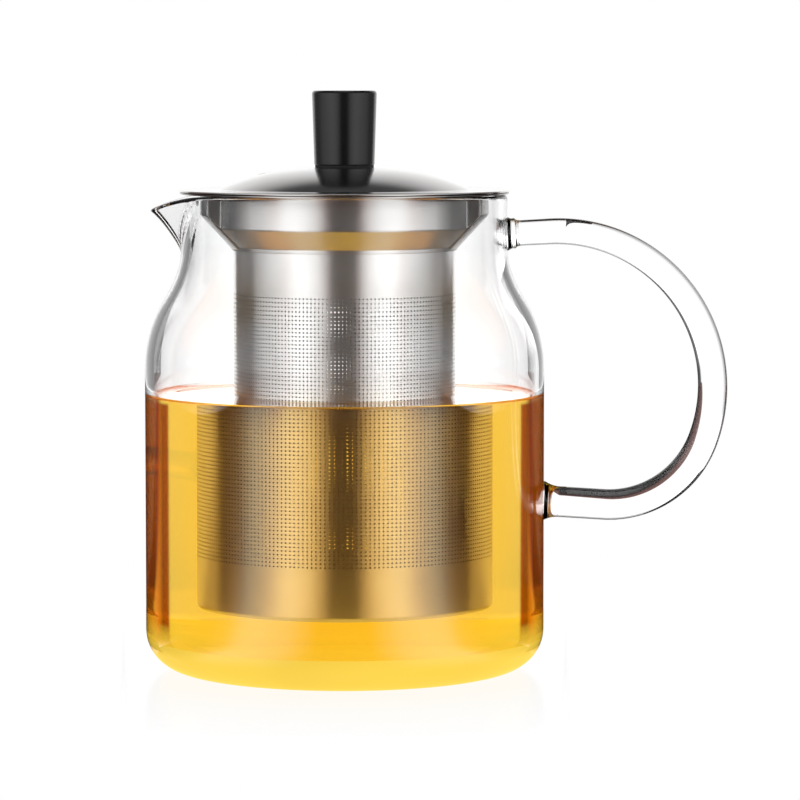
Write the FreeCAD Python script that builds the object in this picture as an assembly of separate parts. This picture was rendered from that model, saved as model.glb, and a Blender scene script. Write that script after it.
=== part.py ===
import FreeCAD, Part
import math
import os

# Glass teapot with a hanging steel infuser and a steel lid.
# Millimetres. +Z up, origin on the pot's axis in the plane that it stands on.
# The handle is on +X and the pouring lip on -X.

V = FreeCAD.Vector
UP = V(0, 0, 1)
ORIGIN = V(0, 0, 0)
TOUCHING = 1e-6          # points closer than this are one point

# ---- Glass vessel ----
BODY_R = 54.2            # outer radius of the straight body
NECK_R = 44.2            # outer radius of the neck
WALL = 2.2               # glass thickness
RIM_Z = 129.0            # top of the rim
BASE_CORNER_R = 11.0     # outer radius of the bottom corner
SHOULDER_Z = 82.0        # where the straight body ends
SHOULDER_R = 36.0        # convex arc of the shoulder
THROAT_R = 26.7          # concave arc from shoulder to neck
SHOULDER_ANGLE = 30.0    # steepest slope of the shoulder, degrees from vertical

# ---- Pouring lip ----
LIP_TIP_X = 54.7         # how far the lip's underside line reaches at rim height
LIP_TIP_R = 5.0          # outer radius of the lip's nose, seen from above
LIP_SHIFT = 11.1         # how far the underside leans inwards ...
LIP_DEPTH = 19.0         # ... over this depth
LIP_DROP_START_X = 31.0  # where the rim begins to fall towards the nose
LIP_DROP_R = 58.0        # radius of that fall, seen from the side
LIP_DROP_END = 130.0     # polar angle where the fall ends, past the nose

# ---- Handle ----
HANDLE_C1 = (57.85, 76.85)   # centre (X, Z) of the large upper arc
HANDLE_R1 = 42.2             # its radius, to the rod's centreline
HANDLE_R2 = 27.1             # radius of the lower arc
HANDLE_START = 93.0          # polar angle where the upper arc begins
HANDLE_JOIN = -20.0          # polar angle where the two arcs meet
HANDLE_END = -93.5           # polar angle where the lower arc ends
ROD_TOP_R = 3.45             # rod radius at the upper root
ROD_LOW_R = 4.2              # rod radius at the lower root
PAD_R = 4.6                  # fused pad's radius
PAD_OUT = 3.3                # how far the upper pad stands off the neck
LOW_PAD_OUT = 2.6            # how far the lower pad stands off the body

# ---- Infuser ----
SHEET = 0.5              # steel sheet thickness
SEAT_GAP = 0.15          # gap between steel faces that rest on each other
RIM_GAP = 0.2            # gap between the glass rim and the collar's flange
TUBE_R = 30.1            # outer radius of the basket
TUBE_BOTTOM_Z = 17.0
TUBE_TOP_Z = 115.6
BOTTOM_EDGE_R = 1.2      # rounded lower edge of the bottom disc
DRUM_R = 35.7            # outer radius of the collar's drum
DRUM_LOW_Z = 120.2       # where the drum turns into the cone
CONE_LOW_Z = 115.1       # lower end of the cone
BAND_LOW_Z = 114.1       # lower end of the band that grips the tube
CHANNEL_R = 39.1         # outer radius of the two side channels
CHANNEL_HALF_W = 15.2
CHANNEL_LOW_Z = 123.7    # where a channel's wall turns inwards
FLANGE_R = 44.6

# ---- Lid ----
LID_R = 45.0             # outer radius of the lid's flange
LID_SHEET = 0.5
DOME_CROWN_R = 130.0     # radius of the dome's flat crown
DOME_CROWN_EDGE = 7.0    # slope at the crown's edge, degrees
DOME_SIDE_R = 60.0       # radius of the dome's side
DOME_FOOT_SLOPE = 25.0   # slope at the dome's foot, degrees
DOME_FOOT_R = 3.0        # concave arc from dome to flange
VENT_R = 1.8
VENT_X = -21.7
RING_R = 34.7            # outer radius of the locating ring
RING_LOW_Z = 122.5
RING_LIP = 2.0           # inward lip at the ring's lower edge

# ---- Knob ----
KNOB_LOW_R = 8.15
KNOB_TOP_R = 8.8
KNOB_HEIGHT = 20.1
KNOB_TOP_ROUND = 0.7
KNOB_FOOT_ROUND = 0.3
GASKET_R = 7.95
GASKET_T = 0.4
INSERT_R = 3.2
INSERT_LENGTH = 10.0
SCREW_R = 2.0            # M4
SCREW_LENGTH = 11.0
SCREW_HEAD_R = 4.0
SCREW_HEAD_H = 2.4
DRIVE_R = 1.4            # hexagon socket, centre to corner
DRIVE_DEPTH = 1.4
DRIVE_SIDES = 6
WASHER_R = 4.6
WASHER_T = 0.8

# ---- Heights worked out from the seats ----
COLLAR_FLANGE_Z = RIM_Z + RIM_GAP
LID_LOW_Z = COLLAR_FLANGE_Z + SHEET + SEAT_GAP
LID_TOP_Z = LID_LOW_Z + LID_SHEET


def at(radius, z):
    """Point in the XZ plane."""
    return V(radius, 0, z)


def polar(centre, radius, degrees):
    """Point in the XZ plane at a polar angle from a centre."""
    a = math.radians(degrees)
    return V(centre.x + radius * math.cos(a), 0, centre.z + radius * math.sin(a))


def bow(centre, radius, start, end):
    """Rest of an arc that begins where the outline stands: its middle and its end."""
    return polar(centre, radius, (start + end) / 2), polar(centre, radius, end)


def outline(start, *steps):
    """Closed wire. A step is a point, reached by a straight run, or a bow."""
    edges = []
    here = start
    for step in steps + (start,):
        if isinstance(step, tuple):
            edges.append(Part.Arc(here, step[0], step[1]).toShape())
            here = step[1]
        elif here.distanceToPoint(step) > TOUCHING:
            edges.append(Part.LineSegment(here, step).toShape())
            here = step
    return Part.Wire(edges)


def spin(wire):
    """Full turn of an XZ outline about the pot's axis."""
    return Part.Face(wire).revolve(ORIGIN, UP, 360)


def cylinder(radius, low, high):
    return Part.makeCylinder(radius, high - low, V(0, 0, low))


def ring(outer, inner, low, high):
    return cylinder(outer, low, high).cut(cylinder(inner, low, high))


def slab(half_width, low, high):
    """Block that covers the whole pot along X and a strip of it along Y."""
    reach = 2 * BODY_R
    return Part.makeBox(2 * reach, 2 * half_width, high - low, V(-reach, -half_width, low))


def one_solid(shape):
    """The single solid of a boolean result, without leftover seams."""
    solid = shape.removeSplitter()
    return solid.Solids[0] if len(solid.Solids) == 1 else solid


# ---------------------------------------------------------------- glass

def vessel_form(inset):
    """Filled vessel without its lip; inset moves its whole skin inwards."""
    corner = at(BODY_R - BASE_CORNER_R, BASE_CORNER_R)
    shoulder = at(BODY_R - SHOULDER_R, SHOULDER_Z)
    a = math.radians(SHOULDER_ANGLE)
    drop = (SHOULDER_R + THROAT_R) * (1 - math.cos(a))
    slope = (BODY_R - NECK_R - drop) / math.sin(a)
    slope_end = polar(shoulder, SHOULDER_R, SHOULDER_ANGLE) + V(-math.sin(a), 0, math.cos(a)) * slope
    throat = slope_end + V(math.cos(a), 0, math.sin(a)) * THROAT_R
    corner_r = BASE_CORNER_R - inset
    shoulder_r = SHOULDER_R - inset
    throat_r = THROAT_R + inset
    return spin(outline(
        at(0, inset),
        at(corner.x, inset),
        bow(corner, corner_r, -90, 0),
        at(BODY_R - inset, SHOULDER_Z),
        bow(shoulder, shoulder_r, 0, SHOULDER_ANGLE),
        polar(throat, throat_r, 180 + SHOULDER_ANGLE),
        bow(throat, throat_r, 180 + SHOULDER_ANGLE, 180),
        at(NECK_R - inset, RIM_Z),
        at(0, RIM_Z)))


def lip_form(inset):
    """Filled lip: a rounded V seen from above, drawn down and inwards at a slant."""
    nose_r = LIP_TIP_R - inset
    nose_x = LIP_TIP_R - LIP_TIP_X
    tangent = math.acos((NECK_R - LIP_TIP_R) / -nose_x)
    root = V(-math.cos(tangent), math.sin(tangent), 0)
    neck_r = NECK_R - inset
    points = []
    for side in (1, -1):
        across = V(root.x, side * root.y, 0)
        points.append((across * neck_r, V(nose_x, 0, 0) + across * nose_r))
    nose = V(nose_x - nose_r, 0, 0)
    top = Part.Wire([
        Part.LineSegment(points[0][0], points[0][1]).toShape(),
        Part.Arc(points[0][1], nose, points[1][1]).toShape(),
        Part.LineSegment(points[1][1], points[1][0]).toShape(),
        Part.LineSegment(points[1][0], points[0][0]).toShape()])
    top.translate(V(0, 0, RIM_Z))
    return Part.Face(top).extrude(V(LIP_SHIFT, 0, -LIP_DEPTH))


def above_rim():
    """Space above the rim, which falls in an arc towards the lip's nose."""
    centre = at(-LIP_DROP_START_X, RIM_Z - LIP_DROP_R)
    far = polar(centre, LIP_DROP_R, LIP_DROP_END)
    profile = outline(
        at(-LIP_DROP_START_X, RIM_Z),
        bow(centre, LIP_DROP_R, 90, LIP_DROP_END),
        at(far.x, RIM_Z + WALL),
        at(NECK_R + WALL, RIM_Z + WALL),
        at(NECK_R + WALL, RIM_Z))
    profile.translate(V(0, -NECK_R, 0))
    return Part.Face(profile).extrude(V(0, 2 * NECK_R, 0))


def filled_pot():
    return vessel_form(0).fuse(lip_form(0))


def pot_body():
    hollow = vessel_form(WALL).fuse(lip_form(WALL))
    return one_solid(filled_pot().cut(hollow).cut(above_rim()))


def handle_path():
    """Rod's centreline, from the neck over the crest and round to the body."""
    c1 = at(*HANDLE_C1)
    a = math.radians(HANDLE_JOIN)
    c2 = c1 + V(math.cos(a), 0, math.sin(a)) * (HANDLE_R1 - HANDLE_R2)
    crest = polar(c1, HANDLE_R1, HANDLE_START)
    low = polar(c2, HANDLE_R2, HANDLE_END)
    lead = math.radians(HANDLE_START)
    tail = math.radians(HANDLE_END)
    top_dir = V(-math.sin(lead), 0, math.cos(lead))
    low_dir = V(math.sin(tail), 0, -math.cos(tail))
    top_root = crest + top_dir * ((crest.x - NECK_R + WALL) / -top_dir.x)
    low_root = low + low_dir * ((low.x - BODY_R + WALL) / -low_dir.x)
    return Part.Wire([
        Part.LineSegment(top_root, crest).toShape(),
        Part.Arc(crest, *bow(c1, HANDLE_R1, HANDLE_START, HANDLE_JOIN)).toShape(),
        Part.Arc(polar(c2, HANDLE_R2, HANDLE_JOIN), *bow(c2, HANDLE_R2, HANDLE_JOIN, HANDLE_END)).toShape(),
        Part.LineSegment(low, low_root).toShape()])


def rod(path, start_r, end_r):
    """Round rod along a path, thinner at its start."""
    first = path.OrderedEdges[0]
    last = path.OrderedEdges[-1]
    start = path.OrderedVertexes[0].Point
    end = path.OrderedVertexes[-1].Point
    shell = Part.BRepOffsetAPI.MakePipeShell(path)
    shell.add(Part.Wire(Part.makeCircle(start_r, start, first.tangentAt(first.FirstParameter))))
    shell.add(Part.Wire(Part.makeCircle(end_r, end, last.tangentAt(last.LastParameter))))
    shell.build()
    shell.makeSolid()
    return shell.shape()


def pad(wall_x, z, stand_off):
    """Gather of glass that fuses the rod to the wall: a disc that tapers onto the rod."""
    disc = Part.makeCylinder(PAD_R, WALL, V(wall_x - WALL, 0, z), V(1, 0, 0))
    taper = Part.makeCone(PAD_R, ROD_TOP_R, stand_off, V(wall_x, 0, z), V(1, 0, 0))
    return disc.fuse(taper)


def pot_handle():
    path = handle_path()
    top_z = path.OrderedVertexes[0].Point.z
    low_z = path.OrderedVertexes[-1].Point.z
    handle = rod(path, ROD_TOP_R, ROD_LOW_R)
    handle = handle.fuse([pad(NECK_R, top_z, PAD_OUT), pad(BODY_R, low_z, LOW_PAD_OUT)])
    return one_solid(handle.cut(filled_pot()))


# -------------------------------------------------------------- infuser

def collar_form(inset, top):
    """Filled funnel: drum, cone, grip band and the two side channels."""
    drum_r = DRUM_R - inset
    grip_r = TUBE_R + SHEET - inset
    channel_r = CHANNEL_R - inset
    funnel = spin(outline(
        at(0, BAND_LOW_Z), at(grip_r, BAND_LOW_Z), at(grip_r, CONE_LOW_Z),
        at(drum_r, DRUM_LOW_Z), at(drum_r, top), at(0, top)))
    channel = spin(outline(
        at(0, BAND_LOW_Z), at(grip_r, BAND_LOW_Z), at(channel_r, CHANNEL_LOW_Z),
        at(channel_r, top), at(0, top)))
    return funnel.fuse(channel.common(slab(CHANNEL_HALF_W - inset, BAND_LOW_Z, top)))


def infuser_collar():
    flange = cylinder(FLANGE_R, COLLAR_FLANGE_Z, COLLAR_FLANGE_Z + SHEET)
    funnel = collar_form(0, COLLAR_FLANGE_Z + SHEET).fuse(flange)
    return one_solid(funnel.cut(collar_form(SHEET, COLLAR_FLANGE_Z + 2 * SHEET)))


def infuser_tube():
    return ring(TUBE_R, TUBE_R - SHEET, TUBE_BOTTOM_Z + BOTTOM_EDGE_R, TUBE_TOP_Z)


def infuser_bottom():
    """Pressed disc whose rounded edge meets the tube's lower end."""
    edge = at(TUBE_R - BOTTOM_EDGE_R, TUBE_BOTTOM_Z + BOTTOM_EDGE_R)
    inner_edge_r = BOTTOM_EDGE_R - SHEET
    return spin(outline(
        at(0, TUBE_BOTTOM_Z), at(edge.x, TUBE_BOTTOM_Z), bow(edge, BOTTOM_EDGE_R, -90, 0),
        polar(edge, inner_edge_r, 0), bow(edge, inner_edge_r, 0, -90),
        at(0, TUBE_BOTTOM_Z + SHEET)))


# ------------------------------------------------------------------ lid

def dome_form(inset):
    """Filled dome and flange; inset lowers its whole skin by the sheet's thickness."""
    crown = math.radians(DOME_CROWN_EDGE)
    foot = math.radians(DOME_FOOT_SLOPE)
    side_x = (DOME_CROWN_R - DOME_SIDE_R) * math.sin(crown)
    foot_x = side_x + (DOME_SIDE_R + DOME_FOOT_R) * math.sin(foot)
    foot_z = LID_TOP_Z + DOME_FOOT_R
    side_z = foot_z - (DOME_SIDE_R + DOME_FOOT_R) * math.cos(foot)
    crown_z = side_z - (DOME_CROWN_R - DOME_SIDE_R) * math.cos(crown)
    crown_r = DOME_CROWN_R - inset
    side_r = DOME_SIDE_R - inset
    foot_r = DOME_FOOT_R + inset
    flange_z = LID_TOP_Z - inset
    return spin(outline(
        at(0, crown_z + crown_r),
        bow(at(0, crown_z), crown_r, 90, 90 - DOME_CROWN_EDGE),
        bow(at(side_x, side_z), side_r, 90 - DOME_CROWN_EDGE, 90 - DOME_FOOT_SLOPE),
        bow(at(foot_x, foot_z), foot_r, 270 - DOME_FOOT_SLOPE, 270),
        at(LID_R, flange_z),
        at(LID_R, LID_LOW_Z - 2 * SHEET),
        at(0, LID_LOW_Z - 2 * SHEET)))


def dome_top():
    """Height of the dome's crown."""
    return dome_form(0).BoundBox.ZMax


def lid_shell():
    vent = Part.makeCylinder(VENT_R, KNOB_HEIGHT, V(VENT_X, 0, LID_LOW_Z))
    bore = cylinder(SCREW_R, LID_LOW_Z, dome_top() + SHEET)
    return one_solid(dome_form(0).cut([dome_form(LID_SHEET), vent, bore]))


def lid_ring():
    wall = ring(RING_R, RING_R - SHEET, RING_LOW_Z, dome_top())
    lip = ring(RING_R, RING_R - RING_LIP, RING_LOW_Z, RING_LOW_Z + SHEET)
    inside = dome_form(LID_SHEET).fuse(cylinder(RING_R, RING_LOW_Z, LID_LOW_Z))
    return one_solid(wall.fuse(lip).common(inside))


# ----------------------------------------------------------------- knob

def knob_foot():
    return dome_top() + GASKET_T / 2


def knob_grip():
    foot = knob_foot()
    top = foot + KNOB_HEIGHT
    top_edge = at(KNOB_TOP_R - KNOB_TOP_ROUND, top - KNOB_TOP_ROUND)
    foot_edge = at(KNOB_LOW_R - KNOB_FOOT_ROUND, foot + KNOB_FOOT_ROUND)
    grip = spin(outline(
        at(0, foot), at(foot_edge.x, foot), bow(foot_edge, KNOB_FOOT_ROUND, -90, 0),
        polar(top_edge, KNOB_TOP_ROUND, 0), bow(top_edge, KNOB_TOP_ROUND, 0, 90),
        at(0, top)))
    return grip.cut(cylinder(INSERT_R, foot, foot + INSERT_LENGTH + SHEET))


def knob_gasket():
    foot = knob_foot()
    return ring(GASKET_R, SCREW_R, foot - 2 * GASKET_T, foot).cut(dome_form(0))


def knob_insert():
    return ring(INSERT_R, SCREW_R, knob_foot(), knob_foot() + INSERT_LENGTH)


def screw_head_top():
    return dome_top() - LID_SHEET - WASHER_T


def drive_socket(low):
    """Hexagon socket that opens at the head's underside."""
    corners = []
    for i in range(DRIVE_SIDES + 1):
        a = 2 * math.pi * i / DRIVE_SIDES
        corners.append(V(DRIVE_R * math.cos(a), DRIVE_R * math.sin(a), low))
    return Part.Face(Part.makePolygon(corners)).extrude(V(0, 0, DRIVE_DEPTH))


def knob_screw():
    top = screw_head_top()
    head = cylinder(SCREW_HEAD_R, top - SCREW_HEAD_H, top)
    shank = cylinder(SCREW_R, top, top + SCREW_LENGTH)
    return one_solid(head.fuse(shank).cut(drive_socket(top - SCREW_HEAD_H)))


def screw_washer():
    washer = ring(WASHER_R, SCREW_R, screw_head_top(), dome_top())
    return washer.common(dome_form(LID_SHEET))


PIECES = {
    "pot_body": pot_body,
    "pot_handle": pot_handle,
    "infuser_collar": infuser_collar,
    "infuser_tube": infuser_tube,
    "infuser_bottom": infuser_bottom,
    "lid_shell": lid_shell,
    "lid_ring": lid_ring,
    "knob_grip": knob_grip,
    "knob_gasket": knob_gasket,
    "knob_insert": knob_insert,
    "knob_screw": knob_screw,
    "screw_washer": screw_washer,
}

os.makedirs("parts", exist_ok=True)
for name, make in PIECES.items():
    shape = make()
    shape.exportStep("parts/" + name + ".step")
    box = shape.BoundBox
    print(name, "valid" if shape.isValid() else "NOT VALID", len(shape.Solids), "solid,",
          round(shape.Volume / 1000, 2), "cm3, z", round(box.ZMin, 2), round(box.ZMax, 2))
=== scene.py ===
import math

import bpy
import numpy as np
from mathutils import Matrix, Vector


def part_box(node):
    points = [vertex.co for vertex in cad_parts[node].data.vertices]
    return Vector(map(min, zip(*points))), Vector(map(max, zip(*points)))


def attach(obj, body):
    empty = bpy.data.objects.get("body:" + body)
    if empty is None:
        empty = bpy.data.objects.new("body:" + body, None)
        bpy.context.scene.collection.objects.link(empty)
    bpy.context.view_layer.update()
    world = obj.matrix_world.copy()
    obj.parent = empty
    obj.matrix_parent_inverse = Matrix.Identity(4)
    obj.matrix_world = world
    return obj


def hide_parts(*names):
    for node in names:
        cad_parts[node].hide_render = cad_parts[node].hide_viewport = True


# A glass teapot with tea, a hanging perforated infuser and a domed lid.
# Metres, in the frame of the CAD model: +Z up, handle on +X, pouring lip on -X, axis at the origin.

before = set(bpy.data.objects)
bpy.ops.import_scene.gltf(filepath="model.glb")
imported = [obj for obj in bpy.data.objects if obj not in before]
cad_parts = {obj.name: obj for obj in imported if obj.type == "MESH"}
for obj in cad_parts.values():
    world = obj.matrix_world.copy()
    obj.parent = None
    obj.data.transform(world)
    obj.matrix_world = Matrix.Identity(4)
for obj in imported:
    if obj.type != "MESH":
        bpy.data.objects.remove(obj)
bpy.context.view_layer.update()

MM = 0.001
TAU = 2 * math.pi
QUARTER_TURN = 0.25


def top_of(node):
    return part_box(node)[1].z


def foot_of(node):
    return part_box(node)[0].z


def radius_of(node):
    """Radius of a round node about the pot's axis, from its widest point along +Y."""
    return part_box(node)[1].y


# ---------------------------------------------------------------- sizes

BODY_R = radius_of("pot_body")
RIM_Z = top_of("pot_body")
NECK_R = BODY_R - 10.0 * MM
WALL = 2.2 * MM
BASE_CORNER_R = 11.0 * MM
BASE_HOLLOW = 0.4 * MM
FOOT_RING_IN = 6.0 * MM      # the foot ring's inner and outer edge, measured inwards from the corner
FOOT_RING_OUT = 3.0 * MM
RIM_R = 0.48 * WALL
SHOULDER_R = 36.0 * MM
THROAT_R = 26.7 * MM
SHOULDER_SLOPE = math.radians(30)
SHOULDER_Z = 91.65 * MM

LIP_REACH = 53.4 * MM        # where the lip's underside line would meet the rim's height
LIP_NOSE_R = 5.0 * MM
LIP_LEAN = 11.1 / 19.0       # inward shift of the lip per unit of depth
LIP_DROP_START = 35.0 * MM
LIP_DROP_R = 40.0 * MM
LIP_FOOT_Z = 108.0 * MM
LIP_BLEND = 1.0 * MM
LIP_WIDTH = math.radians(75)   # the lip has faded out this far to each side
LIP_FADE = math.radians(20)
LIP_FALL_POWER = 1.5
LIP_LOW_PART = 6.0 * MM        # up to here above the lip's foot the wall keeps its plain thickness

HANDLE_C1 = Vector((57.85 * MM, 0, 76.85 * MM))
HANDLE_R1 = 42.2 * MM
HANDLE_R2 = 27.1 * MM
HANDLE_START = math.radians(93)
HANDLE_JOIN = math.radians(-20)
HANDLE_END = math.radians(-93.5)
ROD_TOP_R = 3.45 * MM
ROD_LOW_R = 4.2 * MM
ROD_GROWTH = 1.4             # the rod has its full radius at 1 / 1.4 of its length
ROD_SINK = 1.2 * MM          # its ends reach this far into the wall
FLARE_REACH = 4.0 * MM
FLARE_RISE = 1.2 * MM
RIPPLE_AT = 1.9 * MM
RIPPLE_WIDTH = 0.5 * MM
RIPPLE_RISE = 0.35 * MM

TEA_Z = 74.5 * MM
TEA_OVERLAP = 0.06 * MM      # the tea reaches this far into the glass, so no film of air shows
# the tea's faces below this height glow with painted light
PAINTED_GLOW_TOP = 9.0 * MM
MENISCUS_H = 1.0 * MM
MENISCUS_W = 1.2 * MM
TUBE_MENISCUS = 0.6          # height of the tea's rise at the tube, as a share of that at the glass

SHEET = 0.5 * MM
TUBE_R = radius_of("infuser_tube")
TUBE_TOP = top_of("infuser_tube")
TUBE_FOOT = foot_of("infuser_tube")
HOLE_COLUMNS = 178
HOLE_ROWS = 67
HOLE_BANDS = 4
HOLE_PITCH = TAU * TUBE_R / HOLE_COLUMNS
HOLE_R = 0.25 * MM
HOLE_SIDES = 8
# Steps, around and up, from a hole's middle to the eight grid points about it.
ROUND_A_HOLE = [(1, 0), (1, 1), (0, 1), (-1, 1), (-1, 0), (-1, -1), (0, -1), (1, -1)]
HOLES_FOOT = 31.0 * MM
BOTTOM_EDGE_R = 1.2 * MM
BOTTOM_INNER_R = BOTTOM_EDGE_R - SHEET - 0.01 * MM   # a hair under, so the arc stays below the tube

FLANGE_R = radius_of("infuser_collar")
FLANGE_TOP = top_of("infuser_collar")
BAND_FOOT = foot_of("infuser_collar")
BAND_TOP = BAND_FOOT + 1.0 * MM
DRUM_R = 35.7 * MM
DRUM_FOOT = 120.2 * MM
CHANNEL_R = 39.1 * MM
CHANNEL_HALF_W = 15.2 * MM
CHANNEL_FOOT = 123.7 * MM
CHANNEL_BAND_TOP = BAND_FOOT + 0.4 * MM
CHANNEL_BEND = 0.045         # angle, radians, over which a channel's side rises
STEP_SPREAD = 0.06           # angle to each side of it with closer columns
FLANGE_EDGE_R = 0.24 * MM
FLANGE_BEND_R = 0.5 * MM
DRUM_BEND_R = 1.0 * MM
INNER_BEND_R = 0.6 * MM
BAND_BEND_R = 0.3 * MM
BAND_EDGE_R = 0.1 * MM
# Painted shade on the collar's steel by distance from the YZ plane, darker in the side channels, which face
# away from the light.
CHANNEL_PAINTED_SHADE = [(24.0 * MM, 1.0), (28.5 * MM, 0.40), (40.0 * MM, 0.35)]


# -------------------------------------------------------- mesh building

SHARP_ANGLE = math.radians(35)
GLASS_SHARP_ANGLE = math.radians(50)
ON_AXIS = 1e-7               # a point nearer than this counts as lying on the axis
OUTLINE_STEP = 1.5 * MM
LONG_STEP = 2.0 * MM
FINE_ARC = 16


def arc_points(centre, radius, start, end, steps):
    angles = np.linspace(start, end, steps + 1)
    return [(centre[0] + radius * math.cos(a), centre[1] + radius * math.sin(a)) for a in angles]


def rounded(corners, steps=8):
    """Outline through (r, z, fillet radius) corners, with an arc at each corner that has a radius."""
    points = []
    for i, (r, z, fillet) in enumerate(corners):
        if fillet == 0:
            points.append((r, z))
            continue
        here = Vector((r, z))
        back = (Vector(corners[i - 1][:2]) - here).normalized()
        ahead = (Vector(corners[(i + 1) % len(corners)][:2]) - here).normalized()
        half = back.angle(ahead) / 2
        centre = here + (back + ahead).normalized() * (fillet / math.sin(half))
        first = here + back * (fillet / math.tan(half)) - centre
        turn = math.pi - 2 * half
        side = 1 if back.x * ahead.y - back.y * ahead.x < 0 else -1
        for k in range(steps + 1):
            a = side * turn * k / steps
            arm = Vector((first.x * math.cos(a) - first.y * math.sin(a),
                          first.x * math.sin(a) + first.y * math.cos(a)))
            points.append(tuple(centre + arm))
    return points


def divided(points, longest):
    """An open line with extra points on its long straight runs."""
    fine = [points[0]]
    for a, b in zip(points, points[1:]):
        parts = max(1, math.ceil(math.dist(a, b) / longest))
        run = (b[0] - a[0], b[1] - a[1])
        fine += [(a[0] + run[0] * k / parts, a[1] + run[1] * k / parts) for k in range(1, parts + 1)]
    return fine


def refined(points, longest):
    """A closed outline with extra points on its long straight runs."""
    return divided(points + points[:1], longest)[:-1]


def make_piece(name, verts, faces, material, body, replaced):
    """Mesh piece that rides on a body, with smooth shading up to an angle."""
    mesh = bpy.data.meshes.new(name)
    mesh.from_pydata([tuple(v) for v in verts], [], [tuple(int(i) for i in f) for f in faces])
    mesh.validate()
    mesh.polygons.foreach_set("use_smooth", [True] * len(mesh.polygons))
    mesh.set_sharp_from_angle(angle=SHARP_ANGLE)
    mesh.materials.append(material)
    piece = bpy.data.objects.new(name, mesh)
    bpy.context.scene.collection.objects.link(piece)
    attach(piece, body)
    if replaced:
        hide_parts(*replaced)
    return piece


def grid_faces(rows, columns, closed_rows):
    """Quads of a grid that closes round its columns, and round its rows too if asked."""
    faces = []
    for i in range(rows if closed_rows else rows - 1):
        for j in range(columns):
            a, b = i * columns + j, i * columns + (j + 1) % columns
            c, d = ((i + 1) % rows) * columns + (j + 1) % columns, ((i + 1) % rows) * columns + j
            faces.append((a, b, c, d))
    return faces


def lathe(outline, angles):
    """Verts and faces of a closed (r, z) outline turned about the axis; points on the axis become one."""
    columns = len(angles)
    grid = grid_faces(len(outline), columns, True)
    verts = [(r * math.cos(a), r * math.sin(a), z) for r, z in outline for a in angles]
    poles = {i for i, (r, z) in enumerate(outline) if r < ON_AXIS}
    faces = []
    for face in grid:
        rows = [v // columns for v in face]
        kept = []
        for v, row in zip(face, rows):
            v = row * columns if row in poles else v
            if v not in kept:
                kept.append(v)
        if len(kept) > 2 and not all(row in poles for row in rows):
            faces.append(kept)
    return without_loose(verts, faces)


def without_loose(verts, faces):
    """Drops the points that no face uses."""
    used = sorted({v for face in faces for v in face})
    new = {v: i for i, v in enumerate(used)}
    return [verts[v] for v in used], [[new[v] for v in face] for face in faces]


def even_angles(columns):
    return [TAU * i / columns for i in range(columns)]


def lathe_piece(name, outline, material, body, replaced, columns=256):
    verts, faces = lathe(outline, even_angles(columns))
    return make_piece(name, verts, faces, material, body, replaced)


# ------------------------------------------------------------ materials

def node_material(name):
    material = bpy.data.materials.new(name)
    material.use_nodes = True
    nodes = material.node_tree.nodes
    nodes.clear()
    shader = nodes.new("ShaderNodeBsdfPrincipled")
    output = nodes.new("ShaderNodeOutputMaterial")
    material.node_tree.links.new(shader.outputs["BSDF"], output.inputs["Surface"])
    return material, material.node_tree, shader, output


def math_node(tree, operation, *values):
    node = tree.nodes.new("ShaderNodeMath")
    node.operation = operation
    for i, value in enumerate(values):
        if isinstance(value, (int, float)):
            node.inputs[i].default_value = value
        else:
            tree.links.new(value, node.inputs[i])
    return node.outputs[0]


def noise(tree, vector, scale, detail=2.0, roughness=0.5):
    node = tree.nodes.new("ShaderNodeTexNoise")
    node.inputs["Scale"].default_value = scale
    node.inputs["Detail"].default_value = detail
    node.inputs["Roughness"].default_value = roughness
    tree.links.new(vector, node.inputs["Vector"])
    return node.outputs["Fac"]


def ramp(tree, factor, stops):
    """Colour ramp; a stop is (place, grey) or (place, (r, g, b))."""
    node = tree.nodes.new("ShaderNodeValToRGB")
    elements = node.color_ramp.elements
    elements.remove(elements[1])
    for i, (place, value) in enumerate(stops):
        element = elements.new(place) if i else elements[0]
        element.position = place
        element.color = (value, value, value, 1.0) if isinstance(value, (int, float)) else (*value, 1.0)
    tree.links.new(factor, node.inputs["Fac"])
    return node.outputs["Color"]


def mixed(tree, factor, a, b, blend="MIX"):
    mix = tree.nodes.new("ShaderNodeMix")
    mix.data_type = "RGBA"
    mix.blend_type = blend
    for socket, value in (("Factor", factor), ("A", a), ("B", b)):
        target = next(i for i in mix.inputs if i.name == socket and i.enabled)
        if isinstance(value, (int, float)):
            target.default_value = value if socket == "Factor" else (value, value, value, 1.0)
        else:
            tree.links.new(value, target)
    return next(o for o in mix.outputs if o.enabled)


def bump(tree, shader, height, strength, distance):
    node = tree.nodes.new("ShaderNodeBump")
    node.inputs["Strength"].default_value = strength
    node.inputs["Distance"].default_value = distance
    tree.links.new(height, node.inputs["Height"])
    tree.links.new(node.outputs["Normal"], shader.inputs["Normal"])


def object_position(tree):
    return tree.nodes.new("ShaderNodeTexCoord").outputs["Object"]


def coordinates(tree):
    """The x, y and z of the point in the object's own space."""
    split = tree.nodes.new("ShaderNodeSeparateXYZ")
    tree.links.new(object_position(tree), split.inputs[0])
    return split.outputs


def distance_from_axis(tree, x, y):
    squares = math_node(tree, "ADD", math_node(tree, "MULTIPLY", x, x), math_node(tree, "MULTIPLY", y, y))
    return math_node(tree, "SQRT", squares)


def round_position(tree, along_scale, around_scale):
    """Coordinates that run along the axis and across the radius fast, and around the axis slowly."""
    x, y, z = coordinates(tree)
    angle = math_node(tree, "ARCTAN2", y, x)
    radius = distance_from_axis(tree, x, y)
    join = tree.nodes.new("ShaderNodeCombineXYZ")
    tree.links.new(math_node(tree, "MULTIPLY", angle, around_scale), join.inputs[0])
    tree.links.new(math_node(tree, "MULTIPLY", radius, along_scale), join.inputs[1])
    tree.links.new(math_node(tree, "MULTIPLY", z, along_scale), join.inputs[2])
    return join.outputs[0]


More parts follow.
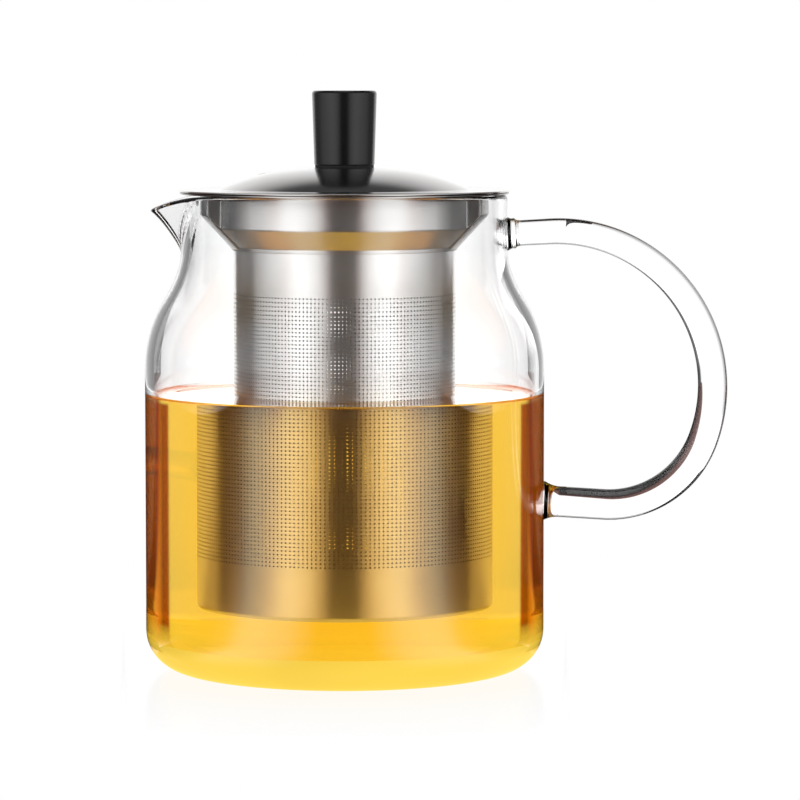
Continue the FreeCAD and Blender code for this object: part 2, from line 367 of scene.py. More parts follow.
def clouded(tree, cloud, tint):
    """The tint with soft clouds of a slightly darker shade."""
    return ramp(tree, cloud, [(0.3, tuple(0.9 * c for c in tint)), (0.7, tint)])


def turned_steel(name, tint, rough_low, rough_high, anisotropy, under_tea_tint=None, painted_side_shade=None):
    """Stainless steel with fine grain lines that run around the axis.

    It can have a tint of its own below the tea's level, and a painted shade by distance from the YZ plane.
    """
    material, tree, shader, _ = node_material(name)
    grain = noise(tree, round_position(tree, 9000.0, 3.0), 1.0, 3.0, 0.6)
    cloud = noise(tree, object_position(tree), 60.0, 3.0)
    colour = clouded(tree, cloud, tint)
    x, _, z = coordinates(tree)
    # painted shade: the steel darkens with distance from the YZ plane, in the side channels
    if painted_side_shade:
        share = math_node(tree, "DIVIDE", math_node(tree, "ABSOLUTE", x), BODY_R)
        shade = ramp(tree, share, [(place / BODY_R, value) for place, value in painted_side_shade])
        colour = mixed(tree, 1.0, colour, shade, "MULTIPLY")
    if under_tea_tint:
        dry = math_node(tree, "GREATER_THAN", z, TEA_Z)
        colour = mixed(tree, dry, clouded(tree, cloud, under_tea_tint), colour)
    tree.links.new(colour, shader.inputs["Base Color"])
    tree.links.new(ramp(tree, grain, [(0.25, rough_low), (0.75, rough_high)]), shader.inputs["Roughness"])
    shader.inputs["Metallic"].default_value = 1.0
    shader.inputs["Anisotropic"].default_value = anisotropy
    shader.inputs["Anisotropic Rotation"].default_value = QUARTER_TURN
    tangent = tree.nodes.new("ShaderNodeTangent")
    tangent.direction_type = "RADIAL"
    tangent.axis = "Z"
    tree.links.new(tangent.outputs["Tangent"], shader.inputs["Tangent"])
    bump(tree, shader, grain, 0.02, 0.01 * MM)
    return material


GLASS_IOR = 1.47
TEA_IOR = 1.333
# Painted shade on the glass by slant, from 0 seen straight on to 1 seen edge on; it greys and darkens the
# outlines.
VESSEL_PAINTED_SHADE_BY_SLANT = [(0.5, 1.0), (0.70, (0.93, 0.92, 0.93)), (0.84, 0.55), (0.97, 0.25)]
ROD_PAINTED_SHADE_BY_SLANT = [(0.1, 1.0), (0.3, (0.86, 0.85, 0.87)), (0.45, 0.3), (0.7, 0.04)]


def slant(tree):
    """0 where a face is seen straight on, 1 where it's seen edge on."""
    weight = tree.nodes.new("ShaderNodeLayerWeight")
    weight.inputs["Blend"].default_value = 0.5
    return weight.outputs["Facing"]


def clear_glass(name, painted_shade_by_slant):
    """Clear glass with painted shade that makes it greyer towards its outlines."""
    material, tree, shader, _ = node_material(name)
    shader.inputs["Transmission Weight"].default_value = 1.0
    shader.inputs["IOR"].default_value = GLASS_IOR
    shader.inputs["Roughness"].default_value = 0.0
    sway = noise(tree, object_position(tree), 40.0, 1.0)
    clear = ramp(tree, sway, [(0.3, (0.985, 0.99, 0.99)), (0.7, (1.0, 1.0, 1.0))])
    # painted shade: the glass darkens towards its outlines, by slant, above the base's corner
    painted_edge_tint = mixed(tree, 1.0, clear, ramp(tree, slant(tree), painted_shade_by_slant), "MULTIPLY")
    above_base = math_node(tree, "GREATER_THAN", coordinates(tree)[2], BASE_CORNER_R)
    tree.links.new(mixed(tree, above_base, clear, painted_edge_tint), shader.inputs["Base Color"])
    bump(tree, shader, sway, 0.02, 0.5 * MM)
    return material


# Painted shade and light on the tea by slant, where light enters it through the side of the pot: a dark
# band, then a deep orange glow at its outline.
TEA_PAINTED_EDGE_BY_SLANT = [(0.217, 1.0), (0.223, (0.20, 0.016, 0.0002)), (0.240, (0.12, 0.02, 0.0003)),
                (0.252, (0.7, 0.14, 0.003)), (0.268, (0.9, 0.4, 0.1))]
# Share of that painted edge by height, 1 at the tea's level.
TEA_PAINTED_EDGE_BY_HEIGHT = [(0.12, 0.0), (0.2, 1.0), (0.99, 1.0), (1.0, 0.0)]
TEA_ABSORPTION = (0.975, 0.80, 0.0, 1.0)
TEA_DENSITY = 32.0
# Painted light that the tea's bed gives off towards the glass, and through the tea, though it is no lamp.
PAINTED_GLOW_OUTWARDS = (1.06, 0.71, 0.08)
PAINTED_GLOW_INWARDS = (1.25, 1.15, 0.50)


def from_inside(tree):
    """1 where a face is seen from behind, 0 where it's seen from in front."""
    return tree.nodes.new("ShaderNodeNewGeometry").outputs["Backfacing"]


def tea_liquid():
    """Clear amber tea, with a painted dark band and a painted deeper orange glow where it's seen at a slant.
    """
    material, tree, shader, output = node_material("amber_tea")
    shader.inputs["Transmission Weight"].default_value = 1.0
    shader.inputs["IOR"].default_value = TEA_IOR
    shader.inputs["Roughness"].default_value = 0.0
    upright = ramp(tree, math_node(tree, "DIVIDE", coordinates(tree)[2], TEA_Z), TEA_PAINTED_EDGE_BY_HEIGHT)
    sway = noise(tree, object_position(tree), 30.0, 1.0)
    clear = ramp(tree, sway, [(0.3, (1.0, 0.985, 0.96)), (0.7, (1.0, 1.0, 1.0))])
    # painted shade and glow at the tea's outline, where light enters through the side
    painted_edge_tint = mixed(tree, 1.0, clear, ramp(tree, slant(tree), TEA_PAINTED_EDGE_BY_SLANT), "MULTIPLY")
    entering = math_node(tree, "SUBTRACT", 1.0, from_inside(tree))
    edge = math_node(tree, "MULTIPLY", entering, upright)
    tree.links.new(mixed(tree, edge, clear, painted_edge_tint), shader.inputs["Base Color"])
    absorb = tree.nodes.new("ShaderNodeVolumeAbsorption")
    absorb.inputs["Color"].default_value = TEA_ABSORPTION
    absorb.inputs["Density"].default_value = TEA_DENSITY
    tree.links.new(absorb.outputs["Volume"], output.inputs["Volume"])
    return material


def tea_painted_glow():
    """Painted light: the tea glows amber where it lies on the glass bottom, standing in for light gathered
    there from all round.
    """
    material, tree, shader, _ = node_material("amber_tea_painted_glow")
    cloud = noise(tree, object_position(tree), 25.0, 2.0)
    outwards = clouded(tree, cloud, PAINTED_GLOW_OUTWARDS)
    inwards = clouded(tree, cloud, PAINTED_GLOW_INWARDS)
    tree.links.new(mixed(tree, from_inside(tree), outwards, inwards), shader.inputs["Emission Color"])
    shader.inputs["Emission Strength"].default_value = 1.0
    shader.inputs["Base Color"].default_value = (0.0, 0.0, 0.0, 1.0)
    shader.inputs["Specular IOR Level"].default_value = 0.0
    return material


def black_plastic():
    material, tree, shader, _ = node_material("knob_black")
    grain = noise(tree, object_position(tree), 2500.0, 3.0)
    cloud = noise(tree, object_position(tree), 120.0, 2.0)
    tree.links.new(ramp(tree, cloud, [(0.3, 0.006), (0.7, 0.009)]), shader.inputs["Base Color"])
    tree.links.new(ramp(tree, grain, [(0.3, 0.19), (0.7, 0.25)]), shader.inputs["Roughness"])
    bump(tree, shader, grain, 0.08, 0.03 * MM)
    return material


def black_rubber():
    material, tree, shader, _ = node_material("gasket_black")
    grain = noise(tree, object_position(tree), 1500.0, 3.0)
    tree.links.new(ramp(tree, grain, [(0.3, 0.010), (0.7, 0.018)]), shader.inputs["Base Color"])
    shader.inputs["Roughness"].default_value = 0.7
    bump(tree, shader, grain, 0.1, 0.03 * MM)
    return material


def turned_brass():
    material, tree, shader, _ = node_material("insert_brass")
    grain = noise(tree, round_position(tree, 6000.0, 2.0), 1.0, 3.0)
    tree.links.new(ramp(tree, grain, [(0.3, (0.70, 0.50, 0.22)), (0.7, (0.80, 0.60, 0.28))]),
                   shader.inputs["Base Color"])
    shader.inputs["Metallic"].default_value = 1.0
    shader.inputs["Roughness"].default_value = 0.3
    return material


VESSEL_GLASS = clear_glass("vessel_glass", VESSEL_PAINTED_SHADE_BY_SLANT)
ROD_GLASS = clear_glass("handle_glass", ROD_PAINTED_SHADE_BY_SLANT)
TEA = tea_liquid()
TEA_PAINTED_GLOW = tea_painted_glow()
STAINLESS = (0.70, 0.69, 0.68)
# Tint of the basket's steel below the tea's level, warmer and darker than above it.
BASKET_UNDER_TEA_TINT = (0.69, 0.57, 0.52)
BASKET_STEEL = turned_steel("basket_steel", STAINLESS, 0.27, 0.32, 0.9, under_tea_tint=BASKET_UNDER_TEA_TINT)
COLLAR_STEEL = turned_steel("collar_steel", STAINLESS, 0.27, 0.32, 0.9, painted_side_shade=CHANNEL_PAINTED_SHADE)
LID_STEEL = turned_steel("lid_steel", STAINLESS, 0.12, 0.17, 0.3)
FIXING_STEEL = turned_steel("fixing_steel", (0.60, 0.60, 0.60), 0.25, 0.35, 0.0)
KNOB_BLACK = black_plastic()
GASKET_BLACK = black_rubber()
INSERT_BRASS = turned_brass()


# ------------------------------------------------------------ glass pot

def throat_z():
    """Height of the corner where the shoulder's slope would meet the neck."""
    return SHOULDER_Z + (BODY_R - NECK_R) / math.tan(SHOULDER_SLOPE)


def wall_corners(inset):
    """Vessel's profile from the bottom corner up to the neck, moved inwards by inset."""
    shift = inset * math.tan(SHOULDER_SLOPE / 2)
    return [
        (BODY_R - inset, inset, BASE_CORNER_R - inset),
        (BODY_R - inset, SHOULDER_Z - shift, SHOULDER_R - inset),
        (NECK_R - inset, throat_z() - shift, THROAT_R + inset)]


def vessel_outline():
    """Closed section of the round vessel: base, outer wall, rim and inner wall."""
    corner_r = BODY_R - BASE_CORNER_R
    base = [(0, BASE_HOLLOW, 0), (corner_r - FOOT_RING_IN, BASE_HOLLOW, 0), (corner_r - FOOT_RING_OUT, 0, 0)]
    rim = [(NECK_R, RIM_Z, RIM_R), (NECK_R - WALL, RIM_Z, RIM_R)]
    inner = wall_corners(WALL)[::-1] + [(0, WALL, 0)]
    return refined(rounded(base + wall_corners(0) + rim + inner, FINE_ARC), OUTLINE_STEP)


def lip_angles():
    """Angles around the pot, closer together where the lip is."""
    half = math.radians(62)
    fine = list(np.linspace(-half, half, 249))
    coarse = list(np.linspace(half, TAU - half, 237))[1:-1]
    return [math.pi + a for a in fine + coarse]


def lip_reach(angle, z, inset):
    """Distance from the axis to the lip's V outline, angle measured from -X."""
    lean = (RIM_Z - z) * LIP_LEAN
    nose_x = LIP_REACH - LIP_NOSE_R
    side = math.acos((NECK_R - LIP_NOSE_R) / nose_x)
    flat = NECK_R - inset - lean * math.cos(side)
    nose_r = LIP_NOSE_R - inset
    centre = nose_x - lean
    contact = math.atan2(nose_r * math.sin(side), centre + nose_r * math.cos(side))
    if angle < contact:
        return centre * math.cos(angle) + math.sqrt(nose_r ** 2 - (centre * math.sin(angle)) ** 2)
    if angle < side:
        return flat / math.cos(angle - side)
    return flat * math.cos(angle - side)


def soft_max(a, b, blend):
    return (a + b + math.sqrt((a - b) ** 2 + blend ** 2)) / 2


def rim_fall(x):
    """How far the rim has fallen at x on its way out to the lip's nose."""
    past = max(0.0, -x - LIP_DROP_START)
    return LIP_DROP_R - math.sqrt(max(0.0, LIP_DROP_R ** 2 - past ** 2))


def with_lip(point):
    """Moves a point of the round vessel outwards and down to form the pouring lip."""
    x, y, z = point
    radius = math.hypot(x, y)
    angle = abs(math.atan2(y, -x))
    if z < LIP_FOOT_Z or radius < NECK_R - 2 * WALL or angle > LIP_WIDTH:
        return point
    if z > LIP_FOOT_Z + LIP_LOW_PART:
        depth = min(1.0, max(0.0, (NECK_R - radius) / WALL))
    else:
        depth = 0.0 if radius > NECK_R - WALL / 2 else 1.0
    inset = depth * WALL
    base = NECK_R - inset
    grown = soft_max(radius, radius - base + lip_reach(angle, z, inset), LIP_BLEND) - LIP_BLEND / 2
    fade = min(1.0, max(0.0, (LIP_WIDTH - angle) / LIP_FADE))
    new_radius = radius + max(0.0, grown - radius) * fade
    new_x = x * new_radius / radius
    share = (z - LIP_FOOT_Z) / (RIM_Z - LIP_FOOT_Z)
    return new_x, y * new_radius / radius, z - rim_fall(new_x) * share ** LIP_FALL_POWER


def handle_line():
    """Points along the rod's centreline with the rod's direction at each."""
    c2 = HANDLE_C1 + Vector((math.cos(HANDLE_JOIN), 0, math.sin(HANDLE_JOIN))) * (HANDLE_R1 - HANDLE_R2)
    line = []
    for centre, radius, start, end in ((HANDLE_C1, HANDLE_R1, HANDLE_START, HANDLE_JOIN),
                                       (c2, HANDLE_R2, HANDLE_JOIN, HANDLE_END)):
        for a in np.linspace(start, end, 90):
            place = centre + Vector((math.cos(a), 0, math.sin(a))) * radius
            line.append((place, Vector((math.sin(a), 0, -math.cos(a)))))
    crest, lead = line[0]
    low, tail = line[-1]
    top_root = crest - lead * ((crest.x - NECK_R + ROD_SINK) / lead.x)
    low_root = low + tail * ((low.x - BODY_R + ROD_SINK) / -tail.x)
    entry = [(top_root.lerp(crest, k / 60), lead) for k in range(60)]
    leave = [(low.lerp(low_root, k / 70), tail) for k in range(1, 71)]
    return entry + line + leave


def flare(stand_off):
    """How much the rod widens close to the wall."""
    if stand_off > FLARE_REACH:
        return 0.0
    t = 1 - max(0.0, stand_off) / FLARE_REACH
    return FLARE_RISE * t * t


def rod_rings():
    """Centre, direction and radius of the rod's rings from its upper end to its lower end."""
    line = handle_line()
    lengths = [0.0]
    for (a, _), (b, _) in zip(line, line[1:]):
        lengths.append(lengths[-1] + (b - a).length)
    rings = []
    for (place, along), s in zip(line, lengths):
        share = s / lengths[-1]
        upper_half = share < 0.5
        radius = ROD_TOP_R + (ROD_LOW_R - ROD_TOP_R) * min(1.0, share * ROD_GROWTH)
        radius += flare(place.x - NECK_R if upper_half else place.x - BODY_R)
        ripple = math.exp(-((place.x - NECK_R - RIPPLE_AT) / RIPPLE_WIDTH) ** 2) if upper_half else 0.0
        rings.append((place, along, radius + RIPPLE_RISE * ripple))
    return rings


def rod_mesh(sides=64):
    """The handle's rod as a closed tube of rings with a flat face at each end."""
    verts = []
    rings = rod_rings()
    for place, along, radius in rings:
        up = Vector((0, 1, 0)).cross(along)
        for k in range(sides):
            a = TAU * k / sides
            verts.append(place + Vector((0, math.cos(a), 0)) * radius + up * math.sin(a) * radius)
    faces = grid_faces(len(rings), sides, False)
    faces.append(list(range(sides))[::-1])
    faces.append([(len(rings) - 1) * sides + k for k in range(sides)])
    return verts, faces


def joined(a, b):
    """Adds mesh object b to a as one watertight body, and removes b."""
    union = a.modifiers.new("join", "BOOLEAN")
    union.operation = "UNION"
    union.solver = "EXACT"
    union.material_mode = "TRANSFER"
    union.object = b
    depsgraph = bpy.context.evaluated_depsgraph_get()
    mesh = bpy.data.meshes.new_from_object(a.evaluated_get(depsgraph))
    a.modifiers.clear()
    a.data = mesh
    bpy.data.objects.remove(b)


def loose_object(name, verts, faces):
    mesh = bpy.data.meshes.new(name)
    mesh.from_pydata([tuple(v) for v in verts], [], faces)
    mesh.update()
    thing = bpy.data.objects.new(name, mesh)
    bpy.context.scene.collection.objects.link(thing)
    return thing


def build_glass():
    verts, faces = lathe(vessel_outline(), lip_angles())
    pot = loose_object("glass_pot", [with_lip(v) for v in verts], faces)
    pot.data.materials.append(VESSEL_GLASS)
    rod = loose_object("glass_rod", *rod_mesh())
    rod.data.materials.append(ROD_GLASS)
    joined(pot, rod)
    pot.data.polygons.foreach_set("use_smooth", [True] * len(pot.data.polygons))
    pot.data.set_sharp_from_angle(angle=GLASS_SHARP_ANGLE)
    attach(pot, "pot")
    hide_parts("pot_body", "pot_handle")


def tea_outline():
    """Section of the tea, with its surface drawn up a little at the glass and at the tube."""
    skin = TEA_OVERLAP
    inner_r = BODY_R - WALL + skin
    side = [(0, WALL - skin, 0), (inner_r, WALL - skin, BASE_CORNER_R - WALL + skin), (inner_r, TEA_Z, 0)]
    surface = []
    for r in np.linspace(inner_r, 0, 140):
        at_glass = math.exp(-(inner_r - r) / MENISCUS_W)
        at_tube = TUBE_MENISCUS * math.exp(-abs(r - TUBE_R) / MENISCUS_W)
        surface.append((float(r), TEA_Z + MENISCUS_H * (at_glass + at_tube)))
    return divided(rounded(side, FINE_ARC), LONG_STEP)[:-1] + surface


def build_tea():
    tea = lathe_piece("tea", tea_outline(), TEA, "pot", None)
    # painted light: the tea's faces near the bottom glow amber
    tea.data.materials.append(TEA_PAINTED_GLOW)
    for face in tea.data.polygons:
        if face.center.z < PAINTED_GLOW_TOP:
            face.material_index = 1


# --------------------------------------------------------------- basket

def hole_band(index):
    """Ring of the basket's wall with its share of the hole rows: both skins and the holes' walls."""
    edges = [round(HOLE_ROWS * k / HOLE_BANDS) for k in range(HOLE_BANDS + 1)]
    rows = edges[index + 1] - edges[index]
    low = HOLES_FOOT + edges[index] * HOLE_PITCH
    around, up = 2 * HOLE_COLUMNS, 2 * rows + 1
    verts, faces = [], []
    for radius in (TUBE_R, TUBE_R - SHEET):
        base = len(verts)
        for i in range(up):
            for j in range(around):
                a = TAU * j / around
                verts.append((radius * math.cos(a), radius * math.sin(a), low + i * HOLE_PITCH / 2))
        hole_base = len(verts)
        for i in range(rows):
            for j in range(HOLE_COLUMNS):
                for k in range(HOLE_SIDES):
                    t = TAU * k / HOLE_SIDES
                    a = (TAU * (2 * j + 1) / around) + HOLE_R * math.cos(t) / TUBE_R
                    z = low + (i + 0.5) * HOLE_PITCH + HOLE_R * math.sin(t)
                    verts.append((radius * math.cos(a), radius * math.sin(a), z))
        for i in range(rows):
            for j in range(HOLE_COLUMNS):
                hole = hole_base + HOLE_SIDES * (i * HOLE_COLUMNS + j)
                cell = [base + (2 * i + 1 + dz) * around + (2 * j + 1 + da) % around
                        for da, dz in ROUND_A_HOLE]
                for k in range(HOLE_SIDES):
                    n = (k + 1) % HOLE_SIDES
                    quad = (cell[k], cell[n], hole + n, hole + k)
                    faces.append(quad if radius == TUBE_R else quad[::-1])
    inner = len(verts) // 2
    holes = up * around
    for h in range(rows * HOLE_COLUMNS):
        first = holes + HOLE_SIDES * h
        for k in range(HOLE_SIDES):
            a, b = first + k, first + (k + 1) % HOLE_SIDES
            faces.append((a, b, b + inner, a + inner))
    for j in range(around):
        n = (j + 1) % around
        faces.append((n, j, j + inner, n + inner))
        last = (up - 1) * around
        faces.append((last + j, last + n, last + n + inner, last + j + inner))
    return verts, faces


def build_basket():
    for index in range(HOLE_BANDS):
        verts, faces = hole_band(index)
        make_piece(f"basket_mesh_{index + 1}", verts, faces, BASKET_STEEL, "infuser",
                   ["infuser_tube"])
    holes_top = HOLES_FOOT + HOLE_ROWS * HOLE_PITCH
    for name, low, high in (("basket_wall_lower", TUBE_FOOT, HOLES_FOOT),
                            ("basket_wall_upper", holes_top, TUBE_TOP)):
        wall = [(TUBE_R - SHEET, low), (TUBE_R, low), (TUBE_R, high), (TUBE_R - SHEET, high)]
        lathe_piece(name, refined(wall, LONG_STEP), BASKET_STEEL, "infuser",
                    ["infuser_tube"], 2 * HOLE_COLUMNS)
    foot = foot_of("infuser_bottom")
    disc = rounded([(0, foot, 0), (TUBE_R, foot, BOTTOM_EDGE_R), (TUBE_R, TUBE_FOOT, 0),
                    (TUBE_R - SHEET, TUBE_FOOT, 0), (TUBE_R - SHEET, foot + SHEET, BOTTOM_INNER_R),
                    (0, foot + SHEET, 0)])
    lathe_piece("basket_bottom", disc, BASKET_STEEL, "infuser", ["infuser_bottom"],
                2 * HOLE_COLUMNS)


# --------------------------------------------------------------- collar

def collar_profile(wide_r, wide_foot, low):
    """Closed section of the collar: flange, straight wall, cone and the band round the tube."""
    t = SHEET
    grip = TUBE_R
    lean = math.hypot(wide_r - grip - t, wide_foot - low) / (wide_foot - low)
    outer = [(FLANGE_R, FLANGE_TOP - t, FLANGE_EDGE_R), (wide_r, FLANGE_TOP - t, FLANGE_BEND_R),
             (wide_r, wide_foot, DRUM_BEND_R), (grip + t, low, BAND_BEND_R),
             (grip + t, BAND_FOOT, BAND_EDGE_R)]
    inner = [(grip, BAND_FOOT, BAND_EDGE_R), (grip, low, BAND_BEND_R),
             (wide_r - t * lean, wide_foot + 0.1 * MM, INNER_BEND_R),
             (wide_r - t, FLANGE_TOP, INNER_BEND_R), (FLANGE_R, FLANGE_TOP, FLANGE_EDGE_R)]
    return rounded(outer + inner, 6)


def channel_edge(inset):
    """Angle from the X axis to the middle of a side channel's step."""
    return math.asin((CHANNEL_HALF_W - inset) / ((DRUM_R + CHANNEL_R) / 2))


def collar_angles():
    """Angles around the collar, closer together at the four steps of the side channels."""
    step = channel_edge(0)
    angles = set(np.round(np.linspace(0, TAU, 240, endpoint=False), 6))
    for middle in (step, math.pi - step, math.pi + step, TAU - step):
        angles |= set(np.round(np.linspace(middle - STEP_SPREAD, middle + STEP_SPREAD, 40), 6))
    return sorted(float(a) for a in angles)


def channel_share(angle, inset):
    """1 inside a side channel, 0 on the drum, with a tight bend between."""
    off = abs(math.atan2(math.sin(angle), abs(math.cos(angle))))
    t = min(1.0, max(0.0, 0.5 + (channel_edge(inset) - off) / CHANNEL_BEND))
    return t * t * (3 - 2 * t)


def build_collar():
    drum = collar_profile(DRUM_R, DRUM_FOOT, BAND_TOP)
    channel = collar_profile(CHANNEL_R, CHANNEL_FOOT, CHANNEL_BAND_TOP)
    angles = collar_angles()
    verts = []
    for i, ((r0, z0), (r1, z1)) in enumerate(zip(drum, channel)):
        inset = 0 if i < len(drum) / 2 else SHEET
        for a in angles:
            share = channel_share(a, inset)
            r, z = r0 + (r1 - r0) * share, z0 + (z1 - z0) * share
            verts.append((r * math.cos(a), r * math.sin(a), z))
    faces = grid_faces(len(drum), len(angles), True)
    make_piece("collar", verts, [f[::-1] for f in faces], COLLAR_STEEL, "infuser",
               ["infuser_collar"])


# ------------------------------------------------------------------ lid

LID_R = radius_of("lid_shell")
LID_LOW = foot_of("lid_shell")
LID_TOP = LID_LOW + SHEET
CROWN_R = 130.0 * MM
CROWN_EDGE = math.radians(7)
DOME_SIDE_R = 60.0 * MM
DOME_SLOPE = math.radians(25)
DOME_FOOT_R = 3.0 * MM
VENT_X = -21.7 * MM
VENT_R = 1.8 * MM
SCREW_R = 2.0 * MM
LID_EDGE_R = 0.22 * MM
RING_LIP = 2.0 * MM          # the ring's lower edge turns in this far
RING_EDGE_R = 0.2 * MM
RING_BEND_R = 0.8 * MM
RING_INNER_BEND_R = 0.3 * MM


def dome_skin(inset):
    """Dome's section from the crown out to where it meets the flange."""
    side_x = (CROWN_R - DOME_SIDE_R) * math.sin(CROWN_EDGE)
    foot_x = side_x + (DOME_SIDE_R + DOME_FOOT_R) * math.sin(DOME_SLOPE)
    foot_z = LID_TOP + DOME_FOOT_R
    side_z = foot_z - (DOME_SIDE_R + DOME_FOOT_R) * math.cos(DOME_SLOPE)
    crown_z = side_z - (CROWN_R - DOME_SIDE_R) * math.cos(CROWN_EDGE)
    up, down = math.pi / 2, 3 * math.pi / 2
    start = up - math.asin(SCREW_R / CROWN_R)
    crown = arc_points((0, crown_z), CROWN_R - inset, start, up - CROWN_EDGE, 24)
    side = arc_points((side_x, side_z), DOME_SIDE_R - inset, up - CROWN_EDGE, up - DOME_SLOPE, 36)
    foot = arc_points((foot_x, foot_z), DOME_FOOT_R + inset, down - DOME_SLOPE, down, 10)
    return crown + side[1:] + foot[1:]


def build_lid():
    top = dome_skin(0)
    under = dome_skin(SHEET)
    edge = rounded([(LID_R - MM, LID_TOP, 0), (LID_R, LID_TOP, LID_EDGE_R), (LID_R, LID_LOW, LID_EDGE_R),
                    (LID_R - MM, LID_LOW, 0)])
    section = top + edge + under[::-1]
    verts, faces = lathe(section[::-1], even_angles(320))
    lid = make_piece("lid_dome", verts, faces, LID_STEEL, "lid", ["lid_shell"])
    high = RIM_Z * 1.1
    pin = [(0, LID_LOW), (VENT_R, LID_LOW), (VENT_R, high), (0, high)]
    cutter_verts, cutter_faces = lathe(pin, even_angles(48))
    cutter = loose_object("vent_cutter", [(x + VENT_X, y, z) for x, y, z in cutter_verts], cutter_faces)
    drilled = lid.modifiers.new("vent", "BOOLEAN")
    drilled.operation = "DIFFERENCE"
    drilled.solver = "EXACT"
    drilled.object = cutter
    mesh = bpy.data.meshes.new_from_object(lid.evaluated_get(bpy.context.evaluated_depsgraph_get()))
    lid.modifiers.clear()
    lid.data = mesh
    mesh.set_sharp_from_angle(angle=SHARP_ANGLE)
    bpy.data.objects.remove(cutter)
    build_lid_ring()


def build_lid_ring():
    outer = radius_of("lid_ring")
    low = foot_of("lid_ring")
    high = top_of("lid_ring")
    inner = outer - SHEET
    lip_r = outer - RING_LIP
    ring = rounded([(inner, high, 0), (inner, low + SHEET, RING_INNER_BEND_R),
                    (lip_r, low + SHEET, RING_EDGE_R), (lip_r, low, RING_EDGE_R),
                    (outer, low, RING_BEND_R), (outer, high, 0)])
    lathe_piece("lid_locating_ring", ring, LID_STEEL, "lid", ["lid_ring"])


# ----------------------------------------------------------------- knob

KNOB_LOW_R = 8.15 * MM
KNOB_TOP_EDGE_R = 0.9 * MM
KNOB_LOW_EDGE_R = 0.35 * MM
KNOB_BORE_EDGE_R = 0.1 * MM


def build_knob():
    foot = foot_of("knob_grip")
    top = top_of("knob_grip")
    top_r = radius_of("knob_grip")
    bore_r = radius_of("knob_insert")
    bore_top = top_of("knob_insert") + SHEET
    grip = rounded([(0, top, 0), (top_r, top, KNOB_TOP_EDGE_R), (KNOB_LOW_R, foot, KNOB_LOW_EDGE_R),
                    (bore_r, foot, KNOB_BORE_EDGE_R), (bore_r, bore_top, 0), (0, bore_top, 0)], 10)
    outline = refined(grip[::-1], 1.0 * MM)
    lathe_piece("knob", outline, KNOB_BLACK, "lid", ["knob_grip"], 160)


def repaint(node, material):
    """Gives a CAD node that is shown as it is one of this scene's materials."""
    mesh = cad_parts[node].data
    mesh.materials.clear()
    mesh.materials.append(material)


# ---------------------------------------------------------------- stage

CAMERA_PLACE = (15.04 * MM, -1084.5 * MM, 160.4 * MM)
CAMERA_TILT = math.radians(4.6)
CAMERA_LENS = 180.0
SENSOR_WIDTH = 36.0
FAR_CLIP = 50.0
FLOOR_HALF_WIDTH = 0.9
FLOOR_FRONT = -0.9
FLOOR_BACK = 0.9
FLOOR_Z = -0.05 * MM         # a hair under the base, so the two faces don't fight
FLOOR_MIRROR_ROUGHNESS = 0.16
CARD_X = 60.0 * MM           # dark cards stand this far from the axis, one each side of the glass
LEFT_CARD_TOP = 126.0 * MM
RIGHT_CARD_TOP = 112.0 * MM  # it ends below the handle's top
LOW_CARD_BACK = 100.0 * MM   # the cards beside the tea only show as reflections
LEFT_CARD_FRONT = -8.0 * MM
LEFT_CARD_BACK = 60.0 * MM
RIGHT_CARD_FRONT = 5.0 * MM  # it stands behind the handle
RIGHT_CARD_BACK = 60.0 * MM
HANDLE_SIDE = 58.0 * MM      # the dark strip behind the handle starts this far from the axis
CARD_BLACK = (0.02, 0.02, 0.02, 1.0)
LIGHT_BOUNCES = 32           # light crosses many glass and tea faces on its way through the pot

# Brightness of the studio by direction, degrees away from straight behind the pot.
ALL_ROUND = [(0, 1.15), (41, 1.15), (45, 0.20), (56, 0.17), (75, 0.28), (91, 0.76), (104, 1.05), (117, 1.28),
             (129, 1.43), (140, 1.40), (151, 1.2), (161, 0.75), (168, 0.08), (180, 0.06)]
# Share of that brightness by elevation, degrees, for steel and plastic.
BY_HEIGHT = [(-90, 1.0), (10, 1.0), (25, 0.72), (34, 0.45), (42, 0.05), (90, 0.05)]
# The same for light that comes through the glass.
BY_HEIGHT_THROUGH_GLASS = [(-90, 1.0), (0, 1.0), (4, 2.1), (30, 2.1), (60, 1.2), (90, 1.2)]
# The light overhead.
OVERHEAD = [(0, 0.0), (66, 0.0), (72, 1.0), (90, 1.0)]
# Brightness of the floor by direction from the pot, degrees away from straight behind it.
FLOOR_ROUND = [(0, 1.15), (41, 1.15), (45, 0.18), (75, 0.10), (92, 0.02), (108, 0.03), (119, 0.42),
               (130, 1.25), (140, 1.35), (151, 1.1), (161, 0.6), (168, 0.08), (180, 0.06)]
# Tint of the floor by its brightness.
WARM_WHEN_DARK = [(0.0, (1.0, 0.5, 0.45)), (0.35, (1.0, 0.62, 0.55)), (1.0, 1.0)]
# Share of the floor's brightness behind the handle, by distance along +Y in metres.
FLOOR_BEHIND_HANDLE = [(0.0, 1.0), (0.005, 0.06), (0.095, 0.06), (0.125, 1.0)]
# Strength of the floor's mirror, by distance from the pot's axis in metres.
FLOOR_SHINE = [(0.0, 0.12), (0.054, 0.12), (0.075, 0.07), (0.12, 0.0)]
# Share of the even glow under the pot, by distance from its axis in metres.
FLOOR_UNDER_POT = [(0.0, 1.0), (0.056, 1.0), (0.066, 0.0)]
UNDER_POT_GLOW = (1.2, 0.80, 0.20)  # amber light that has come down through the tea
FLOOR_ROUND_FROM = 50.0 * MM  # the directions behind the pot are taken from this far along +Y


def add_camera():
    data = bpy.data.cameras.new("camera")
    data.lens = CAMERA_LENS
    data.sensor_width = SENSOR_WIDTH
    data.clip_end = FAR_CLIP
    camera = bpy.data.objects.new("camera", data)
    camera.location = CAMERA_PLACE
    camera.rotation_euler = (math.pi / 2 - CAMERA_TILT, 0, 0)
    bpy.context.scene.collection.objects.link(camera)
    bpy.context.scene.camera = camera


